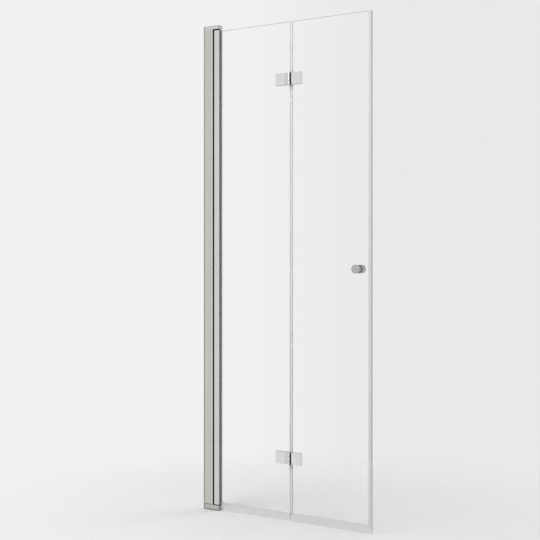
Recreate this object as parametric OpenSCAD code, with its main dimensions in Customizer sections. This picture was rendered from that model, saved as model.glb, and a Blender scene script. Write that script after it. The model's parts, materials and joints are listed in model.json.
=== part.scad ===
// Bifold shower door: two glass panels on a wall post, with no rail above or below.
// The wall panel turns on two pins in the post's brackets, and the lead panel folds
// against it on two knuckle hinges. Millimetres, +Z up.
// Origin: on the wall, at the glass's middle plane, at floor level.
// +X runs from the wall across the opening, and -Y is the outer, dry side.

/* [Overall] */
// Height of the door from the floor to the top of its cap
door_h = 2000; // [1850:10:2150]
// Width from the wall to the tip of the leading seal
door_w = 786; // [730:2:900]

/* [Wall channel] */
// Depth of the channel from front to back
channel_d = 36; // [34:1:42]
// How far the channel's flanges reach from the wall
channel_reach = 36.5; // [33:0.5:40]
// Wall thickness of the channel
channel_wall = 2; // [1.6:0.1:2.6]
// Radius of the holes for the wall screws
wall_hole_r = 3; // [2.5:0.25:4]
// Number of wall screw holes
wall_hole_count = 4; // [3:1:6]
// Height of the lowest wall screw hole, and depth of the highest below the top
wall_hole_inset = 100; // [70:10:180]
// Width and depth of the sealant grooves in the channel's back
sealant_groove = 1.6; // [1.2:0.1:2]
// Distance of the sealant grooves from the channel's middle
sealant_groove_y = 12; // [9:0.5:13]
// Width of the soft strips that close the channel's edges against the wall
wall_strip_w = 5; // [3:0.5:6]
// Thickness of the soft strips at the wall
wall_strip_t = 0.9; // [0.6:0.1:1.1]
// Thickness of the pad between the channel's lower end and the foot
channel_pad = 2; // [1:0.25:3]

/* [Hinge post] */
// Distance from the wall to the post's door side face
post_reach = 43; // [41:0.5:46]
// Distance from the wall to the post's wall side face
post_back = 8; // [6:0.5:11]
// Wall thickness of the post
post_wall = 1.8; // [1.4:0.1:2.2]
// Clearance between the post and the channel on each side
post_fit = 0.25; // [0.15:0.05:0.4]
// Distance from the post's door side face back to the screw ports
port_set_back = 11.5; // [10:0.5:14]
// Distance of the screw ports from the post's middle
port_y = 8.5; // [7:0.5:9.5]
// Radius of a bracket screw's shank
port_screw_r = 2.1; // [1.8:0.1:2.4]
// Length of a bracket screw
port_screw_len = 38; // [30:1:50]
// Distance from the wall to the clamp screws
clamp_x = 17; // [15:0.5:20]
// Number of clamp screws that hold the post in the channel
clamp_count = 3; // [2:1:5]
// Height of the lowest clamp screw, and depth of the highest below the top
clamp_inset = 200; // [140:10:300]
// Radius of a clamp screw's shank
clamp_screw_r = 2; // [1.6:0.1:2.4]
// Length of a clamp screw under its head
clamp_screw_len = 8; // [6:0.5:12]
// Radius of a clamp screw's head
clamp_head_r = 4.5; // [4:0.25:5.5]
// Height of a clamp screw's head
clamp_head_h = 2.2; // [1.6:0.1:3]
// How far the post can be adjusted in the channel
adjust = 16; // [12:1:18]

/* [Brackets] */
// Height of the cap on top of the post
cap_h = 15; // [12:0.5:20]
// Height of the foot under the post
foot_h = 21; // [18:0.5:26]
// How far the brackets' door side end stays behind the turning profile's face
bracket_set_back = 1.5; // [1:0.5:4]
// Depth of the brackets behind the glass's middle plane
bracket_back = 17.5; // [16:0.25:18]
// Rounding of the brackets' front corner
bracket_corner_r = 2.5; // [2:0.5:4]
// Width of the bevel round the cap's upper side
cap_bevel = 1; // [0.5:0.1:1.5]
// Depth of the hollows in the foot's underside
foot_pocket = 14; // [8:1:16]
// Wall left around the hollows in the foot
foot_rim = 4; // [3:0.5:6]
// Depth of the counterbores for the screws in the foot's underside
foot_counterbore = 7; // [4:0.5:9]
// Height of the soft strip round the foot's lower edge
foot_strip_h = 3; // [2:0.25:4]
// Thickness of the soft strip round the foot's lower edge
foot_strip_t = 1.4; // [1:0.1:1.8]

/* [Pivot] */
// Gap between the post and the turning profile
pivot_gap = 9; // [8:0.5:10]
// Width of the turning profile
profile_w = 26.5; // [26:0.25:28.5]
// Depth of the turning profile in front of the glass's middle plane
profile_front = 17; // [15:0.5:18]
// Depth of the turning profile behind the glass's middle plane
profile_back = 17; // [15:0.5:17]
// Rounding of the turning profile's front corners
profile_corner_r = 2; // [1:0.25:3]
// Wall thickness of the turning profile
profile_wall = 1.6; // [1.3:0.1:1.9]
// Gap between the turning profile and the cap
cap_gap = 6; // [4:0.5:8]
// Gap between the turning profile and the foot
foot_gap = 3.5; // [2:0.1:4]
// Radius of the pivot pins
pivot_pin_r = 4; // [3:0.25:4.5]
// How deep a pivot pin sits in its bracket
pivot_pin_seat = 10; // [8:0.5:12]
// How deep a pivot pin reaches into the turning profile
pivot_pin_reach = 24; // [16:1:40]
// Thickness of the end plate on the turning profile's upper end
end_plate = 1.5; // [1:0.1:2.5]
// Depth of the splash lip that stands on the front of the upper end plate
splash_lip = 6; // [4:0.5:9]
// Free height between the splash lip and the cap
splash_clear = 1; // [0.6:0.1:1.5]
// Wall thickness of the pivot bushes
pivot_bush_wall = 2.1; // [1.6:0.1:2.1]
// How far the bushes run past the pins
pivot_bush_extra = 3; // [2:0.5:8]
// Thickness of the lip that covers the joint between profile and glass
gasket_lip = 1; // [0.8:0.1:1.6]

/* [Glass] */
// Thickness of the glass
glass_t = 6; // [5:0.5:8]
// Height of the glass's lower edge above the turning profile's lower end
glass_lift = 1; // [0.5:0.25:3]
// Distance of the glass's upper edge below the turning profile's upper end
glass_drop = 2; // [1:0.5:6]
// How far the wall panel's glass sits in the turning profile
glass_bite = 8; // [7:0.25:8]
// Width of the ground arris along the glass's edges
glass_arris = 1; // [0.5:0.1:1.5]
// Distance from the wall to the seam between the panels
seam_x = 422; // [400:1:450]
// Gap between the two panes at the seam
seam_gap = 5; // [4.6:0.1:6]

/* [Folding hinges] */
// Height of the lower hinge's middle above the floor
hinge_low = 250; // [180:10:400]
// Depth of the upper hinge's middle below the top
hinge_high = 250; // [180:10:400]
// Height of a hinge
hinge_h = 48; // [44:1:60]
// Width of a hinge's flat clamping plate
plate_w = 45; // [40:0.5:50]
// Thickness of a hinge's outer plate
plate_t = 10; // [8:0.5:12]
// Thickness of the pads between plates and glass
pad_t = 1; // [0.6:0.1:1.5]
// Radius of the barrel
barrel_r = 7; // [6.5:0.25:7.5]
// How far the barrel's axis lies in front of the plates' faces
barrel_rise = 0.5; // [0.3:0.1:0.8]
// Free space between the barrel and the plates beside it
barrel_clear = 1; // [0.8:0.1:1.5]
// Width of the ridge between the wall panel's plate and the barrel
ridge_w = 11.5; // [8:0.5:14]
// How far the ridge stands out from the plate's face
ridge_rise = 1; // [0.6:0.1:1]
// Width of the groove between the plate and the ridge
groove_w = 2.5; // [1.5:0.5:4]
// Depth of the groove between the plate and the ridge
groove_depth = 1.4; // [0.8:0.1:2.5]
// Height of the barrel's middle knuckle
knuckle_h = 18; // [14:0.5:22]
// Gap between knuckles
knuckle_gap = 1; // [0.8:0.1:1.4]
// Radius of the hinge pin
hinge_pin_r = 3; // [2.5:0.25:3.25]
// Wall thickness of the hinge bushes
hinge_bush_wall = 1.35; // [1:0.05:1.5]
// Length of a hinge bush inside the middle knuckle
bush_len = 6; // [4:0.5:6.5]
// Width of the inner clamping plates
clamp_w = 30; // [24:1:36]
// Height of the inner clamping plates
clamp_h = 42; // [40:1:44]
// Thickness of the inner clamping plates
clamp_t = 4; // [3.5:0.25:5]
// Distance between the two screws of a leaf
hinge_screw_pitch = 24; // [18:1:26]
// Radius of a hinge screw's shank
hinge_screw_r = 3; // [2.5:0.25:3.5]
// Radius of a hinge screw's head
hinge_head_r = 5.5; // [5:0.25:6.5]
// How deep a hinge screw goes into the outer plate
hinge_screw_bite = 7; // [5:0.5:7]
// Radius of the holes in the glass
glass_hole_r = 6; // [5.5:0.25:7]

/* [Seals] */
// Thickness of a seal's legs
seal_leg = 1.4; // [1:0.1:1.6]
// Depth of a seal's grip on the glass
seal_grip = 4; // [3:0.5:8]
// Thickness of a seal's web over the glass's edge
seal_web = 1.4; // [1:0.1:1.5]
// How far the bottom seal grips up the glass
sweep_grip = 6.5; // [5:0.5:12]
// Gap under the bottom seal's skirt
sweep_gap = 0.5; // [0.3:0.1:1]
// Width of the hollow bulb on the leading edge
bulb_w = 10; // [8:0.5:11]
// Half the depth of the bulb on the leading edge
bulb_r = 6.5; // [5.5:0.25:7]
// Half the width of the gap seal's root in its groove
root_half = 2; // [1.5:0.1:2.4]
// Depth of the gap seal's root behind the post's wall
root_depth = 2; // [1.5:0.1:3]
// Thickness of the gap seal's lip on the post
base_lip = 1; // [0.6:0.1:1.4]
// How far the gap seal's bulb stays behind the post's front face
bulb_recess = 1.2; // [0.6:0.1:2]

/* [Knob] */
// Distance of the knob's axis from the tip of the leading seal
knob_inset = 58; // [50:1:80]
// Height of the knob above the floor
knob_z = 1000; // [900:10:1100]
// Radius of the knobs at their outer ends
knob_r = 17; // [16.5:0.5:20]
// Radius of the outer knob's waist
knob_waist_r = 12.5; // [9:0.5:14]
// Radius of the knobs where they sit on the glass
knob_base_r = 15.5; // [14.5:0.25:16.5]
// How far a knob stands out from its washer
knob_len = 25; // [22:1:32]
// Thickness of the outer knob's disc at its rim
knob_disc = 7; // [5:0.5:9]
// Radius of the stud that joins the two knobs
stud_r = 3; // [2.5:0.25:3.5]
// How deep the stud goes into each knob
stud_bite = 13; // [9:1:16]

/* [Clearances] */
// Clearance around a turning pin
running_fit = 0.05; // [0.03:0.01:0.08]
// Clearance around a fixed pin, screw or bush
fixed_fit = 0.03; // [0.02:0.01:0.05]
// Gap between a piece and what it seats on
seat_gap = 0.1; // [0.05:0.05:0.2]
// Gap between soft pieces and what turns past them
soft_gap = 0.4; // [0.3:0.05:0.6]

/* [Hidden] */
$fn = 64;
tiny = 0.01;
// Smallest radius that an inset corner keeps
least_corner = 0.2;

// Wall side
post_half = channel_d / 2 - channel_wall - post_fit;
post_low = foot_h;
post_high = door_h - cap_h;
channel_low = foot_h + channel_pad;
port_x = post_reach - port_set_back;
port_r = port_screw_r + fixed_fit;
port_head_r = port_screw_r * 2;
port_head_h = port_head_r - port_screw_r;
seal_root_y = -(post_half - post_wall - root_half - seat_gap);

// Pivot: the profile's round back, as it turns, just passes the gap seal's lip
pivot_x = post_reach + seat_gap + base_lip + soft_gap + profile_back;
profile_x0 = post_reach + pivot_gap;
profile_x1 = profile_x0 + profile_w;
bracket_reach = profile_x1 - bracket_set_back;
profile_low = foot_h + foot_gap;
profile_high = post_high - cap_gap;
pivot_bush_r = pivot_pin_r + running_fit + pivot_bush_wall;
glass_x0 = profile_x1 - glass_bite;
slot_half = glass_t / 2 + profile_wall;
glazing_back = slot_half + profile_wall;

// Glass
glass_bottom = profile_low + glass_lift;
glass_top = profile_high - glass_drop;
wall_glass_x1 = seam_x - seam_gap / 2;
lead_glass_x0 = seam_x + seam_gap / 2;
lead_glass_x1 = door_w - bulb_w;
glass_face = glass_t / 2;

// Folding hinges
plate_face = glass_face + pad_t + plate_t;
fold_x = seam_x;
fold_y = -(plate_face + barrel_rise);
barrel_side = barrel_r + barrel_clear;
ridge_x0 = -(barrel_side + ridge_w);
wall_plate_x1 = ridge_x0 - groove_w;
wall_plate_x0 = wall_plate_x1 - plate_w;
lead_plate_x0 = barrel_side;
lead_plate_x1 = lead_plate_x0 + plate_w;
wall_screw_x = (wall_plate_x0 + wall_plate_x1) / 2;
lead_screw_x = (lead_plate_x0 + lead_plate_x1) / 2;
hinge_heights = [hinge_low, door_h - hinge_high];
seal_inner = glass_face + seat_gap;
seal_outer = seal_inner + seal_leg;
relief_y = -fold_y - seal_outer - soft_gap;
relief_x = max(barrel_side, seam_gap / 2 - seat_gap + seal_grip + seal_leg / 2 + soft_gap);
hinge_bush_r = hinge_pin_r + running_fit + hinge_bush_wall;

// Seals
sweep_top = glass_bottom + sweep_grip;
sweep_wall_x0 = max(profile_x1 + gasket_lip + seat_gap, pivot_x + bracket_back + soft_gap);
slot_r = clamp_screw_r + 2 * seat_gap;
knob_x = door_w - knob_inset;

aluminium = [0.76, 0.77, 0.73];
light_aluminium = [0.84, 0.85, 0.82];
chrome = [0.82, 0.83, 0.83];
steel = [0.7, 0.7, 0.7];
black = [0.12, 0.12, 0.12];
clear_soft = [0.86, 0.87, 0.86, 0.8];
grey_soft = [0.5, 0.5, 0.5];
glass_tint = [0.88, 0.93, 0.92, 0.35];

// ---------- shared shapes ----------

// Rectangle from corner to corner
module rect(x0, y0, x1, y1) {
    translate([x0, y0]) square([x1 - x0, y1 - y0]);
}

// Rectangle with four round corners
module round_rect(x0, y0, x1, y1, r) {
    rect(x0 + r, y0, x1 - r, y1);
    rect(x0, y0 + r, x1, y1 - r);
    for (x = [x0 + r, x1 - r], y = [y0 + r, y1 - r])
        translate([x, y]) circle(r = r);
}

// Section in the XY plane, run from one height to another
module run(z0, z1) {
    translate([0, 0, z0]) linear_extrude(z1 - z0) children();
}

// Clear seat for a countersunk head whose cone starts at z = 0
module countersink(shank_r, head_h) {
    cylinder(h = head_h + 2 * seat_gap, r1 = shank_r + seat_gap, r2 = shank_r + head_h + 3 * seat_gap);
}

// Cylinder along Y from y0 to y1
module y_cylinder(x, y0, y1, z, r, r_end = undef) {
    translate([x, y0, z]) rotate([-90, 0, 0])
        cylinder(h = y1 - y0, r1 = r, r2 = is_undef(r_end) ? r : r_end);
}

// Even heights from an inset at the floor to the same inset under the top
function heights(count, inset) =
    [for (i = [0:count - 1]) inset + i * (door_h - 2 * inset) / (count - 1)];

// Points of an arc about a centre
function arc(cx, cy, r, a0, a1, steps = 12) =
    [for (i = [0:steps]) let (a = a0 + (a1 - a0) * i / steps) [cx + r * cos(a), cy + r * sin(a)]];

// ---------- wall side ----------

module channel_section() {
    difference() {
        round_rect(0, -channel_d / 2, channel_reach, channel_d / 2, channel_wall / 3);
        rect(channel_wall, -channel_d / 2 + channel_wall, channel_reach + 1, channel_d / 2 - channel_wall);
        for (side = [-1, 1])
            translate([0, side * sealant_groove_y]) circle(d = sealant_groove);
        // centring groove for drilling
        translate([channel_wall, 0]) rotate(45) square(channel_wall / 3, center = true);
    }
    // feet on the web that keep the post square
    for (side = [-1, 1])
        rect(channel_wall - tiny, side * (post_half - post_wall) - post_wall / 2,
             post_back - seat_gap, side * (post_half - post_wall) + post_wall / 2);
}

module wall_channel() {
    color(aluminium) difference() {
        run(channel_low, post_high) channel_section();
        run(foot_h, door_h) for (side = [-1, 1]) wall_strip_section(side, seat_gap);
        for (z = heights(wall_hole_count, wall_hole_inset))
            translate([-1, 0, z]) rotate([0, 90, 0])
                cylinder(h = channel_wall + 2, r = wall_hole_r);
        for (z = heights(clamp_count, clamp_inset))
            adjusting_slot(z);
    }
}

// Section of a soft strip at the wall, and with a clearance of the rebate that holds it
module wall_strip_section(side, grow = 0) {
    mirror([0, side < 0 ? 1 : 0])
        rect(-10 * grow, channel_d / 2 - wall_strip_t - grow, wall_strip_w + grow, channel_d / 2 + 10 * grow);
}

// The outer strip runs the full height, over the foot and the cap too
module wall_strips() {
    color(grey_soft) {
        run(seat_gap, door_h - cap_bevel) wall_strip_section(-1);
        run(channel_low, post_high - seat_gap) wall_strip_section(1);
    }
}

// Soft pad that fills the joint between the channel and the foot
module channel_end_pad() {
    color(black) run(foot_h, channel_low) difference() {
        rect(wall_strip_w + seat_gap, -channel_d / 2 + seat_gap, channel_reach, bracket_back - seat_gap);
        rect(0, -post_half - seat_gap, channel_reach + 1, post_half + seat_gap);
    }
}

// Slot along X through the channel's inner flange
module adjusting_slot(z) {
    y0 = channel_d / 2 - channel_wall - 1;
    for (x = [clamp_x - adjust / 2, clamp_x + adjust / 2])
        y_cylinder(x, y0, channel_d / 2 + 1, z, slot_r);
    translate([clamp_x - adjust / 2, y0, z - slot_r])
        cube([adjust, channel_wall + 2, 2 * slot_r]);
}

// Root of the gap seal, and the groove in the post's door side face that holds it
module seal_root(grow = 0) {
    rect(post_reach - post_wall - root_depth - grow, seal_root_y - root_half - grow,
         post_reach - post_wall + grow, seal_root_y + root_half + grow);
    rect(post_reach - post_wall, seal_root_y - root_half / 2 - grow,
         post_reach + 2 * seat_gap, seal_root_y + root_half / 2 + grow);
}

module post_section() {
    difference() {
        round_rect(post_back, -post_half, post_reach, post_half, post_wall / 2);
        rect(post_back + post_wall, -post_half + post_wall, post_reach - post_wall, post_half - post_wall);
    }
    // pocket around the seal's root
    difference() {
        rect(post_reach - 2 * post_wall - root_depth - seat_gap, -post_half + post_wall / 2,
             post_reach - post_wall / 2, seal_root_y + root_half + post_wall + seat_gap);
        seal_root(seat_gap);
    }
    // cross web through both screw ports
    web_end = post_half - post_wall / 2;
    rect(port_x - post_wall / 2, -web_end, port_x + post_wall / 2, web_end);
    for (side = [-1, 1])
        translate([port_x, side * port_y]) circle(r = port_r + post_wall);
}

module hinge_post() {
    color(light_aluminium) difference() {
        run(post_low, post_high) difference() {
            post_section();
            seal_root(seat_gap);
            for (side = [-1, 1])
                translate([port_x, side * port_y]) circle(r = port_r);
        }
        for (z = heights(clamp_count, clamp_inset))
            y_cylinder(clamp_x, post_half - post_wall - 1, post_half + 1, z, clamp_screw_r + fixed_fit);
    }
}

module post_clamp_screws() {
    color(steel) for (z = heights(clamp_count, clamp_inset)) difference() {
        union() {
            y_cylinder(clamp_x, channel_d / 2 - clamp_screw_len, channel_d / 2 + tiny, z, clamp_screw_r);
            translate([clamp_x, channel_d / 2, z]) rotate([-90, 0, 0]) rotate_extrude()
                intersection() {
                    translate([0, -clamp_head_r]) circle(r = clamp_head_r + clamp_head_h);
                    rect(0, 0, clamp_head_r, clamp_head_h);
                }
        }
        // hexagon socket
        translate([clamp_x, channel_d / 2 + clamp_head_h / 4, z]) rotate([-90, 0, 0])
            cylinder(h = clamp_head_h, r = clamp_screw_r * 0.9, $fn = 6);
    }
}

// Bulb seal that closes the front of the gap. The turning profile swings past behind it.
module post_seal() {
    x0 = post_reach + seat_gap;
    x1 = profile_x0 - soft_gap;
    back = -(pivot_x - profile_x0 + soft_gap);
    front = -post_half + bulb_recess;
    bulb_x = (x0 + x1) / 2;
    bulb_y = (front + back) / 2;
    color(black) run(post_low + seat_gap, post_high - seat_gap) difference() {
        union() {
            seal_root();
            rect(x0, -post_half, x0 + base_lip, seal_root_y + root_half);
            round_rect(x0, front, x1, back, (back - front) / 2.5);
        }
        translate([bulb_x, bulb_y]) circle(r = (back - front) / 3.2);
    }
}

// ---------- brackets ----------

// Outline of the cap and foot: square in front, rounded about the pivot behind
module bracket_outline(inset = 0) {
    front = -channel_d / 2 + inset;
    end = bracket_reach - inset;
    corner = max(bracket_corner_r - inset, least_corner);
    intersection() {
        union() {
            rect(0, front, end - corner, channel_d);
            rect(0, front + corner, end, channel_d);
            translate([end - corner, front + corner]) circle(r = corner);
        }
        union() {
            rect(0, -channel_d, pivot_x, bracket_back - inset);
            rect(0, -channel_d, bracket_reach, 0);
            translate([pivot_x, 0]) circle(r = bracket_back - inset);
        }
    }
}

// Upright view with its two upper corners cut off
module cut_corners(a, b, z0, z1, cut) {
    polygon([[a, z0], [b, z0], [b, z1 - cut], [b - cut, z1], [a + cut, z1], [a, z1 - cut]]);
}

// The cap's block, bevelled above on every side but the wall's
module cap_block() {
    intersection() {
        run(post_high, door_h) bracket_outline();
        rotate([90, 0, 90]) linear_extrude(bracket_reach)
            cut_corners(-channel_d / 2, bracket_back, 0, door_h, cap_bevel);
        translate([0, channel_d, 0]) rotate([90, 0, 0]) linear_extrude(2 * channel_d)
            cut_corners(-channel_d, bracket_reach, 0, door_h, cap_bevel);
    }
}

module port_positions() {
    for (side = [-1, 1])
        translate([port_x, side * port_y]) children();
}

module cap_bracket() {
    color(light_aluminium) difference() {
        cap_block();
        run(foot_h, door_h + 1) wall_strip_section(-1, seat_gap);
        translate([pivot_x, 0, post_high - 1])
            cylinder(h = pivot_pin_seat + 1 + seat_gap, r = pivot_pin_r + fixed_fit);
        port_positions() {
            translate([0, 0, post_high - 1]) cylinder(h = cap_h + 2, r = port_r + seat_gap);
            translate([0, 0, door_h - seat_gap - port_head_h]) countersink(port_screw_r, port_head_h);
        }
    }
}

module foot_bracket() {
    color(aluminium) difference() {
        union() {
            run(foot_strip_h, foot_h) bracket_outline();
            run(0, foot_strip_h + tiny) bracket_outline(foot_strip_t + seat_gap);
        }
        run(-1, door_h) wall_strip_section(-1, seat_gap);
        translate([pivot_x, 0, foot_h - pivot_pin_seat - seat_gap])
            cylinder(h = pivot_pin_seat + 1 + seat_gap, r = pivot_pin_r + fixed_fit);
        // hollow underside with bosses for the screws
        run(-1, foot_pocket) difference() {
            rect(foot_rim, -channel_d / 2 + foot_rim,
                 pivot_x - pivot_pin_r - foot_rim, bracket_back - foot_rim);
            port_positions() circle(r = port_head_r + foot_rim / 2);
            rect(0, -foot_rim / 4, bracket_reach, foot_rim / 4);
        }
        port_positions() {
            translate([0, 0, -1]) cylinder(h = foot_h + 2, r = port_r + seat_gap);
            translate([0, 0, -1]) cylinder(h = foot_counterbore + 1, r = port_head_r + seat_gap);
        }
    }
}

// Soft strip round the foot's lower edge, in a rebate
module foot_strip() {
    color(black) run(seat_gap, foot_strip_h - seat_gap) difference() {
        bracket_outline();
        bracket_outline(foot_strip_t);
        rect(-1, -channel_d, wall_strip_w + 2 * seat_gap, 0);
    }
}

// Countersunk screws down through the cap
module cap_screws() {
    color(steel) port_positions() difference() {
        union() {
            translate([0, 0, door_h - port_screw_len])
                cylinder(h = port_screw_len - seat_gap, r = port_screw_r);
            translate([0, 0, door_h - seat_gap - port_head_h])
                cylinder(h = port_head_h, r1 = port_screw_r, r2 = port_head_r);
        }
        translate([0, 0, door_h - port_head_r / 2])
            cylinder(h = port_head_r, r = port_screw_r * 0.8, $fn = 6);
    }
}

// Cheese head screws up through the foot
module foot_screws() {
    head_top = foot_counterbore - seat_gap;
    color(steel) port_positions() difference() {
        union() {
            translate([0, 0, head_top]) cylinder(h = port_screw_len, r = port_screw_r);
            translate([0, 0, head_top - port_screw_r]) cylinder(h = port_screw_r + tiny, r = port_head_r);
        }
        translate([0, 0, head_top - port_screw_r - 1])
            cylinder(h = port_screw_r, r = port_screw_r * 0.8, $fn = 6);
    }
}

// ---------- pivot ----------

// Pin with chamfered ends
module chamfered_pin(z0, z1, r) {
    ch = r / 6;
    translate([0, 0, z0]) cylinder(h = ch, r1 = r - ch, r2 = r);
    translate([0, 0, z0 + ch - tiny]) cylinder(h = z1 - z0 - 2 * ch + 2 * tiny, r = r);
    translate([0, 0, z1 - ch]) cylinder(h = ch, r1 = r, r2 = r - ch);
}

module upper_pivot_pin() {
    color(steel) translate([pivot_x, 0, 0])
        chamfered_pin(profile_high - pivot_pin_reach, post_high + pivot_pin_seat, pivot_pin_r);
}

module lower_pivot_pin() {
    color(steel) translate([pivot_x, 0, 0])
        chamfered_pin(foot_h - pivot_pin_seat, profile_low + pivot_pin_reach, pivot_pin_r);
}

// The profile's outline: flat in front, and behind it an arc about the pivot,
// so that it turns past the post
module profile_outline(inset = 0) {
    left = profile_x0 + inset;
    right = profile_x1 - inset;
    front = -profile_front + inset;
    corner = max(profile_corner_r - inset, least_corner);
    rect(left + corner, front, right - corner, tiny);
    rect(left, front + corner, right, tiny);
    for (x = [left + corner, right - corner])
        translate([x, front + corner]) circle(r = corner);
    intersection() {
        rect(left, 0, right, profile_back);
        union() {
            translate([pivot_x, 0]) circle(r = profile_back - inset);
            rect(pivot_x, 0, right, glazing_back - inset);
        }
    }
}

module profile_section() {
    difference() {
        union() {
            difference() {
                profile_outline();
                profile_outline(profile_wall);
            }
            intersection() {
                profile_outline();
                union() {
                    // port for the bushes, on a web to the wall side
                    translate([pivot_x, 0]) circle(r = pivot_bush_r + fixed_fit + profile_wall);
                    rect(profile_x0, -profile_wall / 2, pivot_x, profile_wall / 2);
                    // glazing channel
                    rect(glass_x0 - profile_wall - seat_gap, -glazing_back, profile_x1, glazing_back);
                }
            }
        }
        translate([pivot_x, 0]) circle(r = pivot_bush_r + fixed_fit);
        rect(glass_x0 - seat_gap, -slot_half, profile_x1 + 1, slot_half);
    }
}

module pivot_profile() {
    color(light_aluminium) run(profile_low, profile_high) profile_section();
}

// Rubber on both sides of the glass, with lips that cover the profile's side
module glazing_gasket() {
    grip = slot_half - glass_face;
    color(black) run(profile_low + seat_gap, glass_top) for (side = [-1, 1]) {
        depth = side < 0 ? profile_front : glazing_back;
        mirror([0, side < 0 ? 1 : 0]) difference() {
            union() {
                rect(glass_x0, glass_face + seat_gap, profile_x1 + gasket_lip, slot_half - seat_gap);
                rect(profile_x1 + seat_gap, glass_face + seat_gap,
                     profile_x1 + gasket_lip, depth - grip / 2);
            }
            // serrations that grip the glass
            for (i = [1:4])
                translate([glass_x0 + i * glass_bite / 5, glass_face + seat_gap]) rotate(45)
                    square(grip / 4, center = true);
        }
    }
}

// Bush with an end plate that closes the profile and carries the glass
module pivot_bush(plate_t, block_h, lip_h = 0) {
    difference() {
        union() {
            cylinder(h = pivot_pin_reach + pivot_bush_extra, r = pivot_bush_r);
            translate([-pivot_x, 0, -plate_t]) linear_extrude(plate_t) profile_outline(profile_wall / 2);
            // lip on the front of the plate that keeps splashes out of the gap
            if (lip_h > 0) translate([-pivot_x, 0, -plate_t - lip_h]) linear_extrude(lip_h + tiny)
                intersection() {
                    profile_outline(profile_wall / 2);
                    rect(profile_x0, -profile_front, profile_x1, -profile_front + splash_lip);
                }
            // block that carries or steadies the glass's edge
            translate([glass_x0 - pivot_x + seat_gap, -glass_face + seat_gap, -tiny])
                cube([glass_bite - 2 * seat_gap, glass_t - 2 * seat_gap, block_h - seat_gap]);
        }
        translate([0, 0, -plate_t - 1])
            cylinder(h = pivot_pin_reach + pivot_bush_extra + plate_t + 2, r = pivot_pin_r + running_fit);
    }
}

module lower_pivot_bush() {
    color(black) translate([pivot_x, 0, profile_low]) pivot_bush(foot_gap - 2 * seat_gap, glass_lift);
}

module upper_pivot_bush() {
    color(black) translate([pivot_x, 0, profile_high]) mirror([0, 0, 1])
        pivot_bush(end_plate, glass_drop, cap_gap - splash_clear - end_plate);
}

// ---------- glass ----------

// Rectangle with its four corners cut off
module cut_rect(x0, y0, x1, y1, cut) {
    polygon([
        [x0 + cut, y0], [x1 - cut, y0], [x1, y0 + cut], [x1, y1 - cut],
        [x1 - cut, y1], [x0 + cut, y1], [x0, y1 - cut], [x0, y0 + cut]
    ]);
}

// Pane with a ground arris along all its edges
module pane(x0, x1, holes) {
    difference() {
        intersection() {
            run(glass_bottom, glass_top) cut_rect(x0, -glass_face, x1, glass_face, glass_arris);
            translate([x0 - 1, 0, 0]) rotate([90, 0, 90]) linear_extrude(x1 - x0 + 2)
                cut_rect(-glass_face, glass_bottom, glass_face, glass_top, glass_arris);
        }
        for (h = holes)
            y_cylinder(h[0], -glass_face - 1, glass_face + 1, h[1], glass_hole_r);
    }
}

function hinge_holes(x) =
    [for (z = hinge_heights, s = [-1, 1]) [fold_x + x, z + s * hinge_screw_pitch / 2]];

module wall_glass() {
    color(glass_tint) pane(glass_x0, wall_glass_x1, hinge_holes(wall_screw_x));
}

module lead_glass() {
    color(glass_tint) pane(lead_glass_x0, lead_glass_x1,
        concat(hinge_holes(lead_screw_x), [[knob_x, knob_z]]));
}

// ---------- seals ----------

// Bottom seal: a grip on the glass, a skirt down to the floor in front and a drip lip behind
module sweep_section() {
    web_low = glass_bottom - seat_gap - seal_web;
    rect(-seal_outer, sweep_gap, -seal_inner, sweep_top);
    rect(seal_inner, web_low, seal_outer, sweep_top);
    rect(-seal_outer, web_low, seal_outer, glass_bottom - seat_gap);
    // drip lip, rooted in the middle of the web
    root = web_low + seal_web / 2;
    polygon([
        [seal_outer + 1, web_low / 3], [seal_outer + 2, web_low / 3],
        [seal_outer, root], [seal_outer - seal_web * 1.4, root]
    ]);
}

module sweep(x0, x1) {
    translate([x0, 0, 0]) rotate([90, 0, 90]) linear_extrude(x1 - x0) sweep_section();
}

module wall_bottom_seal() {
    color(clear_soft) sweep(sweep_wall_x0, wall_glass_x1 + seat_gap);
}

module lead_bottom_seal() {
    color(clear_soft) sweep(lead_glass_x0 - seat_gap, door_w);
}

// Clip around a vertical glass edge, opening towards -X, with its web at x = 0
module edge_clip() {
    rect(-seal_grip, seal_inner, 0, seal_outer);
    rect(-seal_grip, -seal_outer, 0, -seal_inner);
    rect(-tiny, -seal_outer, seal_web, seal_outer);
    for (side = [-1, 1])
        translate([-seal_grip, side * (seal_inner + seal_leg / 2)]) circle(d = seal_leg);
}

module seam_seal_section() {
    nose = (seam_gap - soft_gap) / 2 - seat_gap;
    edge_clip();
    // nose that meets the other panel's seal
    translate([nose - nose / 3, 0]) circle(r = nose / 3);
    rect(0, -nose / 3, nose - nose / 3, nose / 3);
}

module wall_seam_seal() {
    color(clear_soft) translate([wall_glass_x1 + seat_gap, 0, 0])
        run(sweep_top + seat_gap, glass_top) seam_seal_section();
}

module lead_seam_seal() {
    color(clear_soft) translate([lead_glass_x0 - seat_gap, 0, 0]) mirror([1, 0, 0])
        run(sweep_top + seat_gap, glass_top) seam_seal_section();
}

// Clip with a hollow bulb that meets the wall or a second door
module leading_edge_seal() {
    tip = bulb_w - seat_gap;
    color(clear_soft) translate([lead_glass_x1 + seat_gap, 0, 0])
        run(sweep_top + seat_gap, glass_top) {
            edge_clip();
            difference() {
                bulb_outline(tip, 0);
                bulb_outline(tip, seal_leg);
            }
            rect(0, -bulb_r, seal_web, bulb_r);
        }
}

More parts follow.
